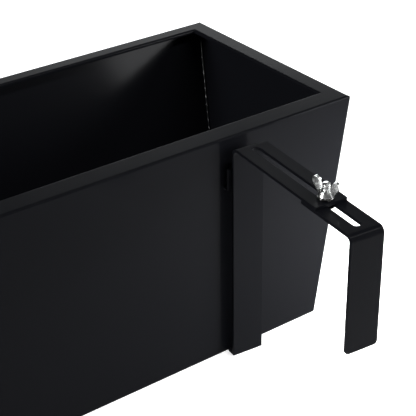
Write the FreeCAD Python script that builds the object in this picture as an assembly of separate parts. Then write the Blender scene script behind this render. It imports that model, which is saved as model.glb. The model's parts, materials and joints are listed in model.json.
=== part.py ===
import FreeCAD, Part
import math
import os
from FreeCAD import Vector

# Window box planter: a folded steel trough, with two clamp brackets that hang on its back wall
# and grip a railing. Millimetres, +Z up, X along the trough, back wall and brackets at -Y. The
# origin is the centre of the flat underside. A bracket is drawn square to the wall at x = 0,
# turned about the tongue that it hangs by, and moved to its place along the wall.

# trough
length_top = 600.0          # outer length at the rim
end_lean = 31.0             # each end stands in by this at the bottom
depth_top = 208.6           # outer depth at the rim
front_lean = 73.6           # the front wall stands in by this at the bottom
height = 200.2
sheet = 1.5
rim_bend = 0.5              # inside radius of the folds at the rim
bottom_bend = 0.4           # and along the bottom
rim_back = 20.0             # width of the folded rim, outer face to lip
rim_front = 14.7
rim_end = 16.7
lip_drop = 3.2              # the rim's inner edge turns down to here
lip_bend = 0.5
drain_hole = 10.0
drain_spacing_x = 380.0
drain_spacing_y = 76.0
weld_radius = 1.4           # beads along the inside corners
weld_stop = 2.2             # a bead ends this far from the next fold
weld_top = 16.0             # rim's top to the upper end of a bead
mitre_margin = 0.2          # the mitres are cut this far below the rim's fold

# bracket: leg and slotted arm from one strip, with a foot plate behind the leg's lower end
bracket_inset = 111.7       # end of the trough at the rim to the bracket's hanger
strip_width = 28.0
strip = 2.5                 # thickness of the bracket's and the hook's strip
leg_standoff = 10.4         # back wall to the leg's front face
arm_drop = 7.1              # rim's top to the arm's underside
foot_lift = 0.3             # trough's underside to the underside of foot and leg
leg_bend = 5.0              # inside radius between leg and arm
arm_slot_start = 7.8        # leg's front face to the slot
arm_slot_length = 95.5
arm_end_land = 4.0          # metal past the slot's end
corner_round = 1.5
swing_angle = 5.4           # a bracket can turn this far each way, and hangs at one limit

# hanger on the wall, and the tongue behind the leg that drops into it
hanger_drop = 24.0          # rim's top to the hanger's top
hanger_height = 18.6
hanger_width = 35.0
hanger_sheet = 2.0
tongue_width = 12.0
tongue_sheet = 1.6
tongue_length = 14.0        # hanger's top to the tongue's end
tongue_bend = 0.4

# hook under the arm
hook_end_land = 4.4         # metal between the slot and the inner end
hook_slot_length = 45.7
hook_arm = 49.3             # bolt's axis to the drop's outer face
hook_drop = 100.1           # arm's top to the drop's lower end
hook_bend = 3.0
drop_corner = 3.0

# carriage bolt, washer and wing nut
bolt_diameter = 6.0
bolt_above_arm = 12.5
bolt_tip_chamfer = 0.8
head_diameter = 14.0
head_height = 3.3
washer_outer = 12.5
washer_sheet = 1.6
nut_base_diameter = 12.6
nut_top_diameter = 8.8
nut_height = 4.4            # hub only
nut_base_chamfer = 0.8
wing_angle = 71.5           # wings turned from across the strip towards along it
wing_reach = 8.4            # bolt's axis to the centre of a wing's round tip
wing_rise = 10.4            # nut's base to the same centre
wing_tip_radius = 3.2
wing_sheet = 2.6
wing_foot = 0.9             # nut's base to a wing's lower edge
wing_root = 6.0             # bolt's axis to the outer end of that edge
wing_crotch = 3.6           # bolt's axis to where a wing's inner edge leaves the hub

# clearances
slot_clearance = 0.6        # slot's width over the bolt's diameter
neck_clearance = 0.3        # square neck to the slot's sides and to where its ends turn round
face_gap = 0.1              # between flat faces that slide on each other
washer_clearance = 0.2      # radial, round the bolt
thread_clearance = 0.05     # radial, nut round the bolt
tongue_clearance = 0.36     # tongue in the hanger's pocket, each side, at the swing's limits
seat_gap = 0.2              # hanger's top to the tongue's web that rests on it
foot_clearance = 0.3        # corner of the foot to the wall, at the swing's limits

# places worked out from the sizes
back_y = -(depth_top - front_lean) / 2
front_bottom_y = -back_y
front_top_y = front_bottom_y + front_lean
end_top_x = length_top / 2
end_bottom_x = end_top_x - end_lean
rim_zone = max(lip_drop, rim_bend + sheet) + mitre_margin
front_slope = math.hypot(front_lean, height) / height   # level thickness of a leaning wall, per mm
end_slope = math.hypot(end_lean, height) / height
slot_width = bolt_diameter + slot_clearance
arm_under = height - arm_drop
arm_top = arm_under + strip
arm_slot_end = arm_slot_start + arm_slot_length
arm_reach = arm_slot_end + arm_end_land
bolt_place = arm_slot_end - slot_width / 2     # the bolt stands at the outer end of the arm's slot
hook_top = arm_under - face_gap
hook_under = hook_top - strip
neck_half = slot_width / 2 - neck_clearance
hook_slot_start = bolt_place - neck_half - neck_clearance - slot_width / 2
nut_base = arm_top + face_gap + washer_sheet + face_gap
hanger_top = height - hanger_drop
swing = math.radians(swing_angle)
tongue_reach = tongue_width * math.sin(swing) + tongue_sheet * math.cos(swing)
pocket = tongue_reach + 2 * tongue_clearance   # wall to the inside of the hanger
tongue_y = -pocket / 2                         # the bracket turns about this line
foot_corner = (strip_width / 2 * math.sin(swing) + tongue_y + foot_clearance) / math.cos(swing)
foot_y = tongue_y - foot_corner                # back edge of the foot, bracket square
past = 20.0                                    # how far a cutting block reaches past its work


def bent_path(points, radii, shift):
    """A bent line moved sideways by shift: a list of ("line" or "arc", 2D points)."""
    headings = []
    for a, b in zip(points, points[1:]):
        run = math.hypot(b[0] - a[0], b[1] - a[1])
        headings.append(((b[0] - a[0]) / run, (b[1] - a[1]) / run))
    steps = []
    first = headings[0]
    here = (points[0][0] - first[1] * shift, points[0][1] + first[0] * shift)
    for corner, before, after, radius in zip(points[1:], headings, headings[1:], radii):
        arc = bend_arc(corner, before, after, radius, shift)
        steps.append(("line", [here, arc[0]]))
        steps.append(("arc", arc))
        here = arc[2]
    last = headings[-1]
    end = (points[-1][0] - last[1] * shift, points[-1][1] + last[0] * shift)
    steps.append(("line", [here, end]))
    return steps


def bend_arc(corner, before, after, radius, shift):
    """Start, middle and end of the arc that rounds a corner, moved sideways by shift."""
    cross = before[0] * after[1] - before[1] * after[0]
    dot = before[0] * after[0] + before[1] * after[1]
    side = 1 if cross > 0 else -1
    reach = radius * math.tan(math.atan2(abs(cross), dot) / 2)
    start = (corner[0] - before[0] * reach, corner[1] - before[1] * reach)
    centre = (start[0] - before[1] * side * radius, start[1] + before[0] * side * radius)
    out_first = (before[1] * side, -before[0] * side)
    out_last = (after[1] * side, -after[0] * side)
    bisector = (out_first[0] + out_last[0], out_first[1] + out_last[1])
    size = math.hypot(*bisector)
    out_middle = (bisector[0] / size, bisector[1] / size)
    moved = radius - side * shift
    return [(centre[0] + n[0] * moved, centre[1] + n[1] * moved)
            for n in (out_first, out_middle, out_last)]


def sheet_section(points, inside_radii, thick, place):
    """Face of a bent sheet's section. points follow its middle, place maps 2D to 3D."""
    radii = [radius + thick / 2 for radius in inside_radii]
    left = bent_path(points, radii, thick / 2)
    right = bent_path(points, radii, -thick / 2)
    edges = []
    for kind, spots in left + right:
        spots = [place(*spot) for spot in spots]
        curve = Part.Arc(*spots) if kind == "arc" else Part.LineSegment(*spots)
        edges.append(curve.toShape())
    for k in (0, -1):
        edges.append(Part.makeLine(place(*left[k][1][k]), place(*right[k][1][k])))
    return Part.Face(Part.Wire(Part.__sortEdges__(edges)))


def prism(corners, place, along):
    """Solid from a closed outline of 2D corners, mapped by place and pushed along a vector."""
    spots = [place(*corner) for corner in corners]
    return Part.Face(Part.makePolygon(spots + spots[:1])).extrude(along)


def block(x0, x1, y0, y1, z0, z1):
    return Part.makeBox(x1 - x0, y1 - y0, z1 - z0, Vector(x0, y0, z0))


def mirrored(shape):
    return shape.mirror(Vector(0, 0, 0), Vector(1, 0, 0))


def largest(shape):
    return max(shape.Solids, key=lambda solid: solid.Volume)


def rounded(shape, chosen, radius):
    """Shape with a fillet on each edge that chosen says yes to."""
    return shape.makeFillet(radius, [edge for edge in shape.Edges if chosen(edge.BoundBox)])


# trough

def folded_walls():
    """Back wall, bottom, front wall and the two long rims as one sheet, with uncut ends."""
    half = sheet / 2
    lean = front_lean / height
    foot_in = half * (front_slope - lean)   # front wall's middle line, at the bottom
    head_in = half * (front_slope + lean)   # and at the rim
    points = [
        (back_y + rim_back - half, height - lip_drop),
        (back_y + rim_back - half, height - half),
        (back_y + half, height - half),
        (back_y + half, half),
        (front_bottom_y - foot_in, half),
        (front_top_y - head_in, height - half),
        (front_top_y - rim_front + half, height - half),
        (front_top_y - rim_front + half, height - lip_drop),
    ]
    radii = [lip_bend, rim_bend, bottom_bend, bottom_bend, rim_bend, lip_bend]
    face = sheet_section(points, radii, sheet, lambda y, z: Vector(-end_top_x - past, y, z))
    return face.extrude(Vector(length_top + 2 * past, 0, 0))


def folded_end():
    """Right end wall and its rim as one sheet, with uncut sides."""
    half = sheet / 2
    lean = end_lean / height
    head_x = end_top_x - half * (end_slope + lean)
    foot_x = head_x - lean * (height - half)
    lip_x = end_top_x - rim_end + half
    points = [(foot_x, 0), (head_x, height - half), (lip_x, height - half), (lip_x, height - lip_drop)]
    face = sheet_section(points, [rim_bend, lip_bend], sheet, lambda x, z: Vector(x, back_y - past, z))
    return face.extrude(Vector(0, depth_top + 2 * past, 0))


def mitre_block():
    """Right end's rim between its two mitres, which run from lip corner to outer corner."""
    more = 1 + past / rim_end
    lip_x = end_top_x - rim_end
    lip_back = back_y + rim_back
    lip_front = front_top_y - rim_front
    corners = [
        (lip_x, lip_back),
        (lip_x + more * rim_end, lip_back - more * rim_back),
        (lip_x + more * rim_end, lip_front + more * rim_front),
        (lip_x, lip_front),
    ]
    low = height - rim_zone
    return prism(corners, lambda x, y: Vector(x, y, low), Vector(0, 0, rim_zone + past))


def beyond_end():
    """Everything outside the right end wall's outer face."""
    run = end_lean / height
    far = end_top_x + end_lean + 2 * past
    corners = [(end_bottom_x - run * past, -past), (end_top_x + run * past, height + past),
               (far, height + past), (far, -past)]
    return prism(corners, lambda x, z: Vector(x, back_y - past, z), Vector(0, depth_top + 2 * past, 0))


def below_rim():
    """Space between the outer faces of the walls, up to the rim's mitres."""
    top = height - rim_zone
    lean = front_lean * top / height
    corners = [(back_y, 0), (front_bottom_y, 0), (front_bottom_y + lean, top), (back_y, top)]
    return prism(corners, lambda y, z: Vector(0, y, z), Vector(end_top_x + past, 0, 0))


def trough_sheet(walls):
    cutters = [beyond_end(), mitre_block()]
    cutters += [mirrored(cutter) for cutter in cutters]
    for x in (-drain_spacing_x / 2, drain_spacing_x / 2):
        for y in (-drain_spacing_y / 2, drain_spacing_y / 2):
            cutters.append(Part.makeCylinder(drain_hole / 2, sheet + 2 * past, Vector(x, y, -past)))
    return walls.cut(cutters)


def end_panel(walls, end):
    wall = largest(end.common(below_rim()).cut(walls))
    return wall.fuse(end.common(mitre_block())).removeSplitter()


def hollow():
    """Right half of the space between the inner faces of the walls, up to the rim's mitres."""
    top = height - rim_zone
    back = back_y + sheet
    front = front_bottom_y - sheet * front_slope
    corners = [(back, sheet), (front + front_lean * sheet / height, sheet),
               (front + front_lean * top / height, top), (back, top)]
    inside = prism(corners, lambda y, z: Vector(0, y, z), Vector(end_top_x + past, 0, 0))
    beyond = beyond_end()
    beyond.translate(Vector(-sheet * end_slope, 0, 0))
    return inside.cut(beyond)


def weld_lines():
    """Inside corners where the right end wall meets the front, the back and the bottom."""
    front = front_bottom_y - sheet * front_slope
    back = back_y + sheet
    low = sheet + weld_radius + weld_stop
    high = height - weld_top

    def spot(y, z):
        return Vector(end_bottom_x + end_lean * z / height - sheet * end_slope, y, z)

    def front_spot(z):
        return spot(front + front_lean * z / height, z)

    inset = bottom_bend + weld_radius + weld_stop
    return {
        "front": (front_spot(low), front_spot(high)),
        "back": (spot(back, low), spot(back, high)),
        "bottom": (spot(back + inset, sheet), spot(front - inset, sheet)),
    }


def weld_bead(line, space):
    """Round bead along an inside corner: the part of a rod that lies in the trough's hollow."""
    start, finish = line
    rod = Part.makeCylinder(weld_radius, (finish - start).Length, start, finish - start)
    return rod.common(space)


# bracket, hanger, hook and clamp, drawn at x = 0 with the wall's face at y = 0

def out_from_leg(distance, z, x=0):
    return Vector(x, -leg_standoff - distance, z)


def slot_cutter(start, finish, low, high):
    """Slot with round ends, between two distances out from the leg."""
    radius = slot_width / 2
    near = -leg_standoff - start - radius
    far = -leg_standoff - finish + radius
    ends = [Part.makeCylinder(radius, high - low, Vector(0, y, low)) for y in (near, far)]
    return block(-radius, radius, far, near, low, high).fuse(ends)


def strip_along(points, bends):
    """Strip whose middle follows (distance out from the leg, z) points."""
    face = sheet_section(points, bends, strip, lambda out, z: out_from_leg(out, z, -strip_width / 2))
    return face.extrude(Vector(strip_width, 0, 0))


def bracket():
    half = strip / 2
    points = [(-half, foot_lift), (-half, arm_under + half), (arm_reach, arm_under + half)]
    shape = strip_along(points, [leg_bend])
    shape = shape.cut(slot_cutter(arm_slot_start, arm_slot_end, arm_under - 1, arm_top + 1))
    arm_end = -leg_standoff - arm_reach
    return rounded(shape, lambda box: box.YMax < arm_end + 0.01 and box.XLength < 0.01, corner_round)


def foot():
    """Plate from the leg's back towards the wall, flush with the leg's lower end."""
    half = strip_width / 2
    return block(-half, half, -leg_standoff + strip, foot_y, foot_lift, foot_lift + strip)


def tongue():
    """Web from the leg's back over the hanger's top edge, and the tongue behind the hanger."""
    web_z = hanger_top + seat_gap + tongue_sheet / 2
    points = [(-leg_standoff + strip, web_z), (tongue_y, web_z), (tongue_y, hanger_top - tongue_length)]
    face = sheet_section(points, [tongue_bend], tongue_sheet, lambda y, z: Vector(-tongue_width / 2, y, z))
    return face.extrude(Vector(tongue_width, 0, 0))


def hanger():
    """Plate held off the wall by a web along its lower edge, open at the top and sides."""
    low = hanger_top - hanger_height
    half = hanger_width / 2
    plate = block(-half, half, -pocket - hanger_sheet, -pocket, low, hanger_top)
    web = block(-half, half, -pocket, 0, low, low + hanger_sheet)
    return plate.fuse(web).removeSplitter()


def hook():
    half = strip / 2
    inner = hook_slot_start - hook_end_land
    drop = bolt_place + hook_arm - half
    low = arm_top - hook_drop
    shape = strip_along([(inner, hook_top - half), (drop, hook_top - half), (drop, low)], [hook_bend])
    finish = hook_slot_start + hook_slot_length
    shape = shape.cut(slot_cutter(hook_slot_start, finish, hook_under - 1, hook_top + 1))
    inner_y = -leg_standoff - inner
    shape = rounded(shape, lambda box: box.YMin > inner_y - 0.01 and box.XLength < 0.01, corner_round)
    return rounded(shape, lambda box: box.ZMax < low + 0.01 and box.XLength < 0.01, drop_corner)


def clamp_bolt():
    """Domed head under the hook, square neck in the hook's slot, shank up through the arm."""
    seat = hook_under - face_gap
    y = -leg_standoff - bolt_place
    dome_radius = ((head_diameter / 2) ** 2 + head_height ** 2) / (2 * head_height)
    dome = Part.makeSphere(dome_radius, Vector(0, y, seat - head_height + dome_radius))
    disc = Part.makeCylinder(head_diameter, head_height, Vector(0, y, seat - head_height))
    neck = block(-neck_half, neck_half, y - neck_half, y + neck_half, seat, hook_top - face_gap)
    tip = arm_top + bolt_above_arm
    shank = Part.makeCylinder(bolt_diameter / 2, tip - seat, Vector(0, y, seat))
    shank = shank.makeChamfer(bolt_tip_chamfer, [e for e in shank.Edges if e.BoundBox.ZMin > tip - 0.01])
    return dome.common(disc).fuse([neck, shank]).removeSplitter()


def washer():
    base = out_from_leg(bolt_place, arm_top + face_gap)
    disc = Part.makeCylinder(washer_outer / 2, washer_sheet, base)
    return disc.cut(Part.makeCylinder(bolt_diameter / 2 + washer_clearance, washer_sheet, base))


def wing(base):
    """One wing with a round tip, standing out along +X from the bolt's axis."""
    out = wing_reach - wing_root
    rise = wing_rise - wing_foot
    tangent = math.atan2(rise, out) - math.asin(wing_tip_radius / math.hypot(out, rise))
    touch = (wing_reach + wing_tip_radius * math.sin(tangent),
             wing_rise - wing_tip_radius * math.cos(tangent))
    outline = [(0, wing_foot), (wing_root, wing_foot), touch, (wing_reach, wing_rise),
               (wing_reach - wing_tip_radius, wing_rise), (wing_crotch, nut_height), (0, nut_height)]
    back = -wing_sheet / 2
    web = prism(outline, lambda x, z: base + Vector(x, back, z), Vector(0, wing_sheet, 0))
    centre = base + Vector(wing_reach, back, wing_rise)
    return web.fuse(Part.makeCylinder(wing_tip_radius, wing_sheet, centre, Vector(0, 1, 0)))


def wing_nut():
    base = out_from_leg(bolt_place, nut_base)
    hub = Part.makeCone(nut_base_diameter / 2, nut_top_diameter / 2, nut_height, base)
    hub = hub.makeChamfer(nut_base_chamfer, [e for e in hub.Edges if e.BoundBox.ZMax < nut_base + 0.01])
    wings = []
    for turn in (0, 180):
        one = wing(base)
        one.rotate(base, Vector(0, 0, 1), turn - wing_angle)
        wings.append(one)
    bore = Part.makeCylinder(bolt_diameter / 2 + thread_clearance, nut_height + past, base - Vector(0, 0, 1))
    return hub.fuse(wings).removeSplitter().cut(bore)


def on_right_hanger(shape, turn):
    """Shape turned about the tongue's line and moved to the right bracket's place."""
    placed = shape.copy()
    placed.rotate(Vector(0, tongue_y, 0), Vector(0, 0, 1), turn)
    placed.translate(Vector(end_top_x - bracket_inset, back_y, 0))
    return placed


def save(name, shape):
    shape.exportStep(os.path.join("parts", name + ".step"))
    print(name, len(shape.Solids), "solid,", round(shape.Volume / 1000, 2), "cm3")


def main():
    os.makedirs("parts", exist_ok=True)
    walls = folded_walls()
    end = folded_end()
    right = {"end_panel": end_panel(walls, end)}
    space = hollow()
    for corner, line in weld_lines().items():
        right["weld_" + corner] = weld_bead(line, space)
    right["hanger"] = on_right_hanger(hanger(), 0)
    for name, make in (("bracket", bracket), ("bracket_foot", foot), ("bracket_tongue", tongue),
                       ("hook", hook), ("clamp_bolt", clamp_bolt), ("washer", washer),
                       ("wing_nut", wing_nut)):
        right[name] = on_right_hanger(make(), -swing_angle)
    save("trough_sheet", trough_sheet(walls))
    for name, shape in right.items():
        save(name + "_right", shape)
        save(name + "_left", mirrored(shape))


main()
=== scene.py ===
import bpy
import json
import math
import random
from mathutils import Matrix, Vector


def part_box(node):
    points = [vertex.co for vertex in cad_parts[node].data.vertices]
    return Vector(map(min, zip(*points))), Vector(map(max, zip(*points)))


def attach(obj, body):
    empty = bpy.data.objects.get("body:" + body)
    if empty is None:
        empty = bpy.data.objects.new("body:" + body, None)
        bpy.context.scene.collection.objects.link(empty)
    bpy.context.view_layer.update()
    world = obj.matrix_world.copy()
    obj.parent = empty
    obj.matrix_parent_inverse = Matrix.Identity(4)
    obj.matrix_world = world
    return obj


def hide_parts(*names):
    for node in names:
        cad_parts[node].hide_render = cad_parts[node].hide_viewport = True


# Window box planter on its two clamp brackets. Folded sheet and strip keep the frame's shapes with
# softened edges, and each wing nut is the frame's nut rounded like a casting. Weld beads and bolts
# are made here. Metres, same frame as the CAD.

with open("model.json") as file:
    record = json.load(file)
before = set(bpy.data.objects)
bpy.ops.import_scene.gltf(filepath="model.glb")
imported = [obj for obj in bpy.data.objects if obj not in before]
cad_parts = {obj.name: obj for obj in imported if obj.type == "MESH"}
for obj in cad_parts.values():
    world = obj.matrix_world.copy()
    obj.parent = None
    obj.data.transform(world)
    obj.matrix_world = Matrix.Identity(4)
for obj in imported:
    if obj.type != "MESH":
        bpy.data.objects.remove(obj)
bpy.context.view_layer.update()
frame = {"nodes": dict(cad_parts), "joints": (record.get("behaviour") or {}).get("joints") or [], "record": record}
record = frame["record"]
bodyOfNode = {n: body for body, nodes in record["behaviour"]["bodies"].items() for n in nodes}
sides = (("right", 1), ("left", -1))
print("frame loaded:", len(bodyOfNode), "nodes")


def selectOnly(*objs):
    if bpy.context.object and bpy.context.object.mode != "OBJECT":
        bpy.ops.object.mode_set(mode="OBJECT")
    bpy.ops.object.select_all(action="DESELECT")
    for obj in objs:
        obj.select_set(True)
    bpy.context.view_layer.objects.active = objs[0] if objs else None


def nameActive(name):
    obj = bpy.context.active_object
    obj.name = name
    obj.data.name = name
    return obj


def addModifier(obj, kind, **values):
    modifier = obj.modifiers.new(kind.lower(), kind)
    for key, value in values.items():
        setattr(modifier, key, value)


def applyAll(obj):
    selectOnly(obj)
    for modifier in list(obj.modifiers):
        bpy.ops.object.modifier_apply(modifier=modifier.name)


def settle(obj):
    # puts the object's place, turn and size into its mesh
    selectOnly(obj)
    bpy.ops.object.transform_apply(location=True, rotation=True, scale=True)


def smoothed(obj, degrees):
    selectOnly(obj)
    bpy.ops.object.shade_smooth_by_angle(angle=math.radians(degrees))


def softEdges(obj, width, segments, degrees):
    # rounds each edge that turns by more than this angle
    limit = math.radians(degrees)
    addModifier(obj, "BEVEL", width=width, segments=segments, limit_method="ANGLE", angle_limit=limit)
    applyAll(obj)


def editing(obj, kind="VERT"):
    selectOnly(obj)
    bpy.ops.object.mode_set(mode="EDIT")
    bpy.ops.mesh.select_mode(type=kind)
    bpy.ops.mesh.select_all(action="SELECT")


def leaveEditing():
    bpy.ops.object.mode_set(mode="OBJECT")


def ringedRod(name, radius, length, around, rings):
    # closed rod along Z, centred, with many rings of vertices to reshape
    selectOnly()
    bpy.ops.mesh.primitive_cylinder_add(vertices=around, radius=radius, depth=length,
                                        location=(0, 0, 0))
    rod = nameActive(name)
    editing(rod, "EDGE")
    bpy.ops.mesh.select_all(action="DESELECT")
    leaveEditing()
    for edge in rod.data.edges:
        a, b = (rod.data.vertices[i].co for i in edge.vertices)
        edge.select = abs(a.z - b.z) > length / 2
    bpy.ops.object.mode_set(mode="EDIT")
    bpy.ops.mesh.subdivide(number_cuts=rings)
    leaveEditing()
    return rod


def joined(name, *parts):
    selectOnly(*parts)
    bpy.ops.object.join()
    return nameActive(name)


def dress(obj, material, node):
    obj.data.materials.clear()
    obj.data.materials.append(material)
    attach(obj, bodyOfNode[node])
    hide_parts(node)


def startMaterial(name):
    material = bpy.data.materials.new(name)
    material.use_nodes = True
    tree = material.node_tree
    return material, tree, tree.nodes["Principled BSDF"]


def addNode(tree, kind, **values):
    # a value goes to the input of that name, or else to the node's own setting
    node = tree.nodes.new(kind)
    for key, value in values.items():
        if key in node.inputs:
            node.inputs[key].default_value = value
        else:
            setattr(node, key, value)
    return node


def noiseOn(tree, scale, detail=2.0):
    place = addNode(tree, "ShaderNodeTexCoord")
    noise = addNode(tree, "ShaderNodeTexNoise", Scale=scale, Detail=detail)
    tree.links.new(place.outputs["Object"], noise.inputs["Vector"])
    return noise.outputs["Fac"]


def ramp(tree, source, low, high, start=0.3, end=0.7):
    # maps a pattern's values from start to end onto low to high
    node = addNode(tree, "ShaderNodeMapRange")
    node.inputs["From Min"].default_value = start
    node.inputs["From Max"].default_value = end
    node.inputs["To Min"].default_value = low
    node.inputs["To Max"].default_value = high
    tree.links.new(source, node.inputs["Value"])
    return node.outputs["Result"]


mixSockets = {"share": 0, "first": 6, "second": 7, "result": 2}


def twoColours(tree, source, dark, light):
    # the mix node has one set of sockets per data type, so those for colours go by number
    mix = addNode(tree, "ShaderNodeMix", data_type="RGBA")
    mix.inputs[mixSockets["first"]].default_value = (*dark, 1)
    mix.inputs[mixSockets["second"]].default_value = (*light, 1)
    tree.links.new(source, mix.inputs[mixSockets["share"]])
    return mix.outputs[mixSockets["result"]]


def bumpChain(tree, layers):
    # layers are (pattern, height in metres)
    last = None
    for source, height in layers:
        bump = addNode(tree, "ShaderNodeBump", Strength=1.0, Distance=height)
        tree.links.new(source, bump.inputs["Height"])
        if last:
            tree.links.new(last.outputs["Normal"], bump.inputs["Normal"])
        last = bump
    return last.outputs["Normal"]


def makeMetalwork(name, look):
    material, tree, shader = startMaterial(name)
    patches = noiseOn(tree, look["patchScale"], look["patchDetail"])
    peel = noiseOn(tree, look["peelScale"])
    grain = noiseOn(tree, look["grainScale"])
    colour = twoColours(tree, patches, look["dark"], look["light"])
    roughness = ramp(tree, patches, look["smooth"], look["rough"])
    normal = bumpChain(tree, [(peel, look["peelHeight"]), (grain, look["grainHeight"])])
    tree.links.new(colour, shader.inputs["Base Color"])
    tree.links.new(roughness, shader.inputs["Roughness"])
    tree.links.new(normal, shader.inputs["Normal"])
    tree.links.new(normal, shader.inputs["Coat Normal"])
    shader.inputs["Specular IOR Level"].default_value = look["specular"]
    shader.inputs["Metallic"].default_value = look["metal"]
    shader.inputs["Coat Weight"].default_value = look["gloss"]
    shader.inputs["Coat Roughness"].default_value = look["glossRough"]
    return material


powderCoat = {
    "dark": (0.0040, 0.0043, 0.0056), "light": (0.0056, 0.0059, 0.0077), "metal": 0.0,
    "patchScale": 9.0, "patchDetail": 3, "peelScale": 620.0, "grainScale": 2600.0,
    "peelHeight": 0.000008, "grainHeight": 0.000002,
    "smooth": 0.45, "rough": 0.55, "specular": 0.015, "gloss": 0.05, "glossRough": 0.13,
}
weldCoat = dict(powderCoat, gloss=1.0, glossRough=0.12)
zincPlate = {
    "dark": (0.52, 0.53, 0.53), "light": (0.86, 0.87, 0.86), "metal": 1.0,
    "patchScale": 420.0, "patchDetail": 3, "peelScale": 900.0, "grainScale": 2400.0,
    "peelHeight": 0.00004, "grainHeight": 0.000006,
    "smooth": 0.16, "rough": 0.30, "specular": 0.5, "gloss": 0.0, "glossRough": 0.1,
}
turnedPlate = dict(zincPlate, peelHeight=0.00001, smooth=0.12, rough=0.22)
# the washer's zinc is darkened as painted shade, standing in for the nut's shadow and the dark arm that it
# reflects
shadedPlate = dict(turnedPlate, dark=(0.14, 0.14, 0.14), light=(0.30, 0.30, 0.30))

blackCoat = makeMetalwork("blackPowderCoat", powderCoat)
beadCoat = makeMetalwork("blackWeldCoat", weldCoat)
castZinc = makeMetalwork("castZinc", zincPlate)
turnedZinc = makeMetalwork("turnedZinc", turnedPlate)
shadedWasherZinc = makeMetalwork("shadedWasherZinc", shadedPlate)
print("materials made")


edgeRadius = {
    "trough_sheet": 0.00016, "end_panel": 0.00016, "hanger": 0.00050, "bracket": 0.00045,
    "bracket_foot": 0.00030, "bracket_tongue": 0.00025, "hook": 0.00045, "washer": 0.00025,
}
# angles in degrees: below flat two faces are one, and above sharp their edge is rounded
edgeWork = {
    "segments": 3, "merge": 0.000002, "flat": 0.4, "sharp": 42.0, "smooth": 40.0, "faceWeight": 100,
}


def cadCopy(node):
    # the node's mesh with its flat areas made whole again
    source = frame["nodes"][node]
    obj = bpy.data.objects.new(node + "_dressed", source.data.copy())
    bpy.context.scene.collection.objects.link(obj)
    editing(obj)
    bpy.ops.mesh.remove_doubles(threshold=edgeWork["merge"])
    bpy.ops.mesh.select_all(action="SELECT")
    bpy.ops.mesh.dissolve_limited(angle_limit=math.radians(edgeWork["flat"]))
    leaveEditing()
    return obj


def flatShaded(obj):
    # flat faces shade flat and the narrow rounds between them carry the turn of the light
    addModifier(obj, "WEIGHTED_NORMAL", keep_sharp=True, weight=edgeWork["faceWeight"])
    applyAll(obj)


def dressSheets():
    for kind, width in edgeRadius.items():
        nodes = [kind] if kind in bodyOfNode else [f"{kind}_{side}" for side, sign in sides]
        for node in nodes:
            obj = cadCopy(node)
            softEdges(obj, width, edgeWork["segments"], edgeWork["sharp"])
            smoothed(obj, edgeWork["smooth"])
            flatShaded(obj)
            dress(obj, shadedWasherZinc if kind == "washer" else blackCoat, node)


dressSheets()
print("sheets and strips dressed")


weldBead = {
    "cadRadius": 0.0014, "radius": 0.0010, "inward": 0.0007, "around": 14, "ringGap": 0.0006,
    "stroke": 0.0026, "swell": 0.0003, "lean": 0.15, "uneven": 0.3, "seed": 11,
    "lumpSize": 0.0016, "lumpDetail": 2, "lumpHeight": 0.0005, "lumpMiddle": 0.6, "smooth": 60,
}
beadLumps = bpy.data.textures.new("beadLumps", "CLOUDS")
beadLumps.noise_scale = weldBead["lumpSize"]
beadLumps.noise_depth = weldBead["lumpDetail"]


def beadLine(corner, side, sign):
    # ends of the inside corner that the bead fills, moved a little into the trough
    low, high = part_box(f"weld_{corner}_{side}")
    r, move = weldBead["cadRadius"], weldBead["inward"]
    outerX = high.x if sign > 0 else low.x
    innerX = (low.x + r) if sign > 0 else (high.x - r)
    if corner == "front":
        start, end = Vector((innerX, low.y + r, low.z)), Vector((outerX, high.y, high.z))
        shift = Vector((-sign * move, -move, 0))
    elif corner == "back":
        start, end = Vector((innerX, low.y, low.z)), Vector((outerX, low.y, high.z))
        shift = Vector((-sign * move, move, 0))
    else:
        start, end = Vector((outerX, low.y, low.z)), Vector((outerX, high.y, low.z))
        shift = Vector((-sign * move, 0, move))
    return start + shift, end + shift


def makeBead(corner, side, sign, seed):
    look = weldBead
    start, end = beadLine(corner, side, sign)
    span = end - start
    rings = int(span.length / look["ringGap"])
    bead = ringedRod(f"bead_{corner}_{side}", look["radius"], span.length, look["around"], rings)
    chance = random.Random(seed)
    for vertex in bead.data.vertices:
        # each stroke of the torch leaves a swelling that leans along the seam
        phase = (vertex.co.z / look["stroke"] + look["lean"] * vertex.co.x / look["radius"]) % 1
        swell = look["swell"] * (math.sin(math.pi * phase) + chance.uniform(0, look["uneven"]))
        flat = Vector((vertex.co.x, vertex.co.y, 0))
        vertex.co += flat.normalized() * swell
    bead.rotation_mode = "QUATERNION"
    bead.rotation_quaternion = Vector((0, 0, 1)).rotation_difference(span.normalized())
    bead.location = (start + end) / 2
    settle(bead)
    addModifier(bead, "DISPLACE", texture=beadLumps, texture_coords="LOCAL",
                strength=look["lumpHeight"], mid_level=look["lumpMiddle"])
    applyAll(bead)
    smoothed(bead, look["smooth"])
    dress(bead, beadCoat, f"weld_{corner}_{side}")


for side, sign in sides:
    for count, corner in enumerate(("front", "back", "bottom")):
        makeBead(corner, side, sign, weldBead["seed"] + count)
print("weld beads made")


carriageBolt = {
    "radius": 0.0030, "pitch": 0.0010, "depth": 0.00065, "flank": 1.6, "tipChamfer": 0.0008,
    "around": 40, "ringsPerTurn": 9, "threadSmooth": 50,
    "headRise": 0.0033, "headRim": 0.0003, "headAround": 48, "headRings": 24,
    "neckWidth": 0.0060, "neckRise": 0.0024, "neckEdge": 0.0003,
    "edgeSteps": 2, "edgeSharp": 50, "smooth": 40,
}


def clampAxis(side):
    low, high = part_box(f"washer_{side}")
    return (low + high) / 2


def clampTurn(side):
    # turn of the bracket about +Z at rest, read from its slide's direction
    slide = next(j for j in frame["joints"] if j["name"] == f"clamp_slide_{side}")
    x, y, z = slide["axis"]
    return math.atan2(y, x) - math.pi / 2


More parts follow.
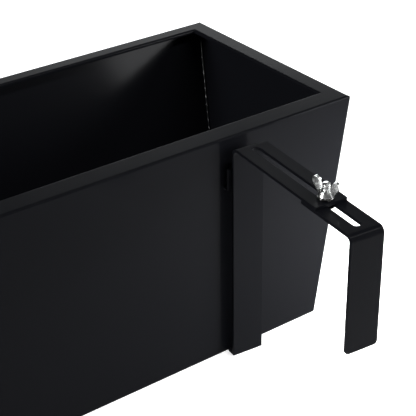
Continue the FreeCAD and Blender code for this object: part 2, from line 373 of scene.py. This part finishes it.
def threadRadius(z, angle, top):
    # round crests and roots along a helix, drawn in at the tip
    look = carriageBolt
    phase = (z / look["pitch"] - angle / (2 * math.pi)) % 1
    rise = min(1, look["flank"] * abs(2 * phase - 1))
    full = look["radius"] - look["depth"] * (1 - rise)
    return min(full, look["radius"] - look["tipChamfer"] + (top - z))


def makeThread(side):
    look = carriageBolt
    low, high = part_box(f"clamp_bolt_{side}")
    bottom = low.z + look["headRise"]
    length = high.z - bottom
    rings = int(length / look["pitch"] * look["ringsPerTurn"])
    thread = ringedRod(f"thread_{side}", look["radius"], length, look["around"], rings)
    for vertex in thread.data.vertices:
        flat = Vector((vertex.co.x, vertex.co.y, 0))
        reach = threadRadius(vertex.co.z, math.atan2(flat.y, flat.x), length / 2)
        vertex.co = flat.normalized() * reach + Vector((0, 0, vertex.co.z))
    axis = clampAxis(side)
    thread.location = (axis.x, axis.y, bottom + length / 2)
    settle(thread)
    smoothed(thread, look["threadSmooth"])
    return thread


def makeHead(side):
    # lower half of a flattened ball, cut off flat where it seats
    look = carriageBolt
    low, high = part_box(f"clamp_bolt_{side}")
    axis = clampAxis(side)
    wide = (high.x - low.x) / 2
    seat = low.z + look["headRise"]
    selectOnly()
    bpy.ops.mesh.primitive_uv_sphere_add(segments=look["headAround"], ring_count=look["headRings"],
                                         radius=1, location=(0, 0, 0))
    head = nameActive(f"boltHead_{side}")
    head.scale = (wide, wide, look["headRise"])
    head.location = (axis.x, axis.y, seat)
    settle(head)
    editing(head)
    bpy.ops.mesh.bisect(plane_co=(axis.x, axis.y, seat), plane_no=(0, 0, 1),
                        clear_outer=True, use_fill=True)
    leaveEditing()
    softEdges(head, look["headRim"], look["edgeSteps"], look["edgeSharp"])
    smoothed(head, look["smooth"])
    return head


def makeNeck(side):
    # square block under the thread that keeps the bolt from turning in the hook's slot
    look = carriageBolt
    low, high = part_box(f"clamp_bolt_{side}")
    axis = clampAxis(side)
    selectOnly()
    bpy.ops.mesh.primitive_cube_add(size=1, location=(0, 0, 0))
    neck = nameActive(f"boltNeck_{side}")
    neck.scale = (look["neckWidth"], look["neckWidth"], look["neckRise"])
    neck.rotation_euler = (0, 0, clampTurn(side))
    neck.location = (axis.x, axis.y, low.z + look["headRise"] + look["neckRise"] / 2)
    settle(neck)
    softEdges(neck, look["neckEdge"], look["edgeSteps"], look["edgeSharp"])
    smoothed(neck, look["smooth"])
    return neck


wingNut = {"voxel": 0.00020, "flow": 3, "flowFactor": 0.5, "keep": 0.30, "smooth": 60}


def makeWingNut(side):
    # the frame's nut as a casting: every edge flows round
    node = f"wing_nut_{side}"
    nut = cadCopy(node)
    addModifier(nut, "REMESH", mode="VOXEL", voxel_size=wingNut["voxel"])
    addModifier(nut, "SMOOTH", iterations=wingNut["flow"], factor=wingNut["flowFactor"])
    addModifier(nut, "DECIMATE", ratio=wingNut["keep"])
    applyAll(nut)
    smoothed(nut, wingNut["smooth"])
    dress(nut, castZinc, node)


for side, sign in sides:
    bolt = joined(f"carriageBolt_{side}", makeThread(side), makeHead(side), makeNeck(side))
    dress(bolt, turnedZinc, f"clamp_bolt_{side}")
    makeWingNut(side)
print("clamps made")


studioFloor = {"size": 14.0, "colour": (0.80, 0.80, 0.80), "rough": 0.9, "lift": 0.78}


def seenDirectly(tree, strength):
    # strength for camera, mirror and glass rays, nothing for the light that falls on other things
    path = addNode(tree, "ShaderNodeLightPath")
    last = path.outputs["Is Camera Ray"]
    for kind in ("Is Glossy Ray", "Is Transmission Ray"):
        more = addNode(tree, "ShaderNodeMath", operation="MAXIMUM")
        tree.links.new(last, more.inputs[0])
        tree.links.new(path.outputs[kind], more.inputs[1])
        last = more.outputs[0]
    scaled = addNode(tree, "ShaderNodeMath", operation="MULTIPLY")
    tree.links.new(last, scaled.inputs[0])
    scaled.inputs[1].default_value = strength
    return scaled.outputs[0]


def makeFloor():
    # the lift makes the pale floor white to the eye, and the object's shadow stays on it
    selectOnly()
    bpy.ops.mesh.primitive_plane_add(size=studioFloor["size"], location=(0, 0, 0))
    floor = nameActive("floor")
    material, tree, shader = startMaterial("paleFloor")
    shader.inputs["Base Color"].default_value = (*studioFloor["colour"], 1)
    shader.inputs["Roughness"].default_value = studioFloor["rough"]
    shader.inputs["Specular IOR Level"].default_value = 0.0
    shader.inputs["Emission Color"].default_value = (1, 1, 1, 1)
    lift = seenDirectly(tree, studioFloor["lift"])
    tree.links.new(lift, shader.inputs["Emission Strength"])
    floor.data.materials.append(material)


# start and end are the sines of two elevations
studioWalls = {"low": 0.15, "high": 0.08, "start": 0.38, "end": 0.46}


def makeWorld():
    # pale walls that darken towards the ceiling
    world = bpy.data.worlds.new("studio")
    bpy.context.scene.world = world
    world.use_nodes = True
    tree = world.node_tree
    back = tree.nodes["Background"]
    back.inputs["Color"].default_value = (1, 1, 1, 1)
    place = addNode(tree, "ShaderNodeTexCoord")
    split = addNode(tree, "ShaderNodeSeparateXYZ")
    tree.links.new(place.outputs["Generated"], split.inputs["Vector"])
    look = studioWalls
    level = ramp(tree, split.outputs["Z"], look["low"], look["high"], look["start"], look["end"])
    tree.links.new(level, back.inputs["Strength"])


lamps = {
    # place, point aimed at, width and height, watts, colour
    "keyStrip": ((1.05, -1.2, 2.0), (1.05, 0, 0.2), (2.0, 0.25), 22, (1, 1, 1)),
    "windowLamp": ((0.62, -0.42, 0.30), (0.25, -0.07, 0.08), (0.2, 0.2), 2.8, (0.97, 0.98, 1)),
    "floorPool": ((0.42, -0.13, 0.20), (0.42, -0.13, 0), (0.1, 0.1), 1.8, (0.97, 0.98, 1)),
    "backPanel": ((1.0, 1.078, 0.395), (0.408, -0.19, 0.395), (0.9, 0.79), 9, (0.96, 0.985, 1)),
    "fillLamp": ((-1.5, 0.25, 0.70), (0.25, 0.03, 0.15), (0.5, 0.5), 27, (1, 1, 1)),
}


def makeLamps():
    for name, (spot, aim, size, watts, colour) in lamps.items():
        selectOnly()
        bpy.ops.object.light_add(type="AREA", location=spot)
        lamp = nameActive(name)
        lamp.data.shape = "RECTANGLE"
        lamp.data.size, lamp.data.size_y = size
        lamp.data.energy = watts
        lamp.data.color = colour
        lamp.rotation_mode = "QUATERNION"
        lamp.rotation_quaternion = (Vector(aim) - Vector(spot)).to_track_quat("-Z", "Y")


# angles in degrees, lens and sensor in millimetres
cameraShot = {
    "spot": (-0.3268, -0.7337, 0.6192), "heading": 35.91, "down": 29.95, "roll": -0.78,
    "lens": 106.0, "sensor": 36, "near": 0.01,
}


def makeCamera():
    look = cameraShot
    heading, down, roll = (math.radians(look[k]) for k in ("heading", "down", "roll"))
    ahead = Vector((math.sin(heading), math.cos(heading), 0))
    forward = ahead * math.cos(down) - Vector((0, 0, math.sin(down)))
    level = Vector((math.cos(heading), -math.sin(heading), 0))
    above = level.cross(forward)
    right = level * math.cos(roll) + above * math.sin(roll)
    up = above * math.cos(roll) - level * math.sin(roll)
    selectOnly()
    bpy.ops.object.camera_add(location=look["spot"])
    shot = nameActive("shot")
    shot.data.lens = look["lens"]
    shot.data.sensor_width = look["sensor"]
    shot.data.clip_start = look["near"]
    shot.rotation_mode = "QUATERNION"
    shot.rotation_quaternion = Matrix((right, up, -forward)).transposed().to_quaternion()
    bpy.context.scene.camera = shot


makeFloor()
makeWorld()
makeLamps()
makeCamera()
bpy.context.scene.view_settings.view_transform = "Standard"
print("studio set")
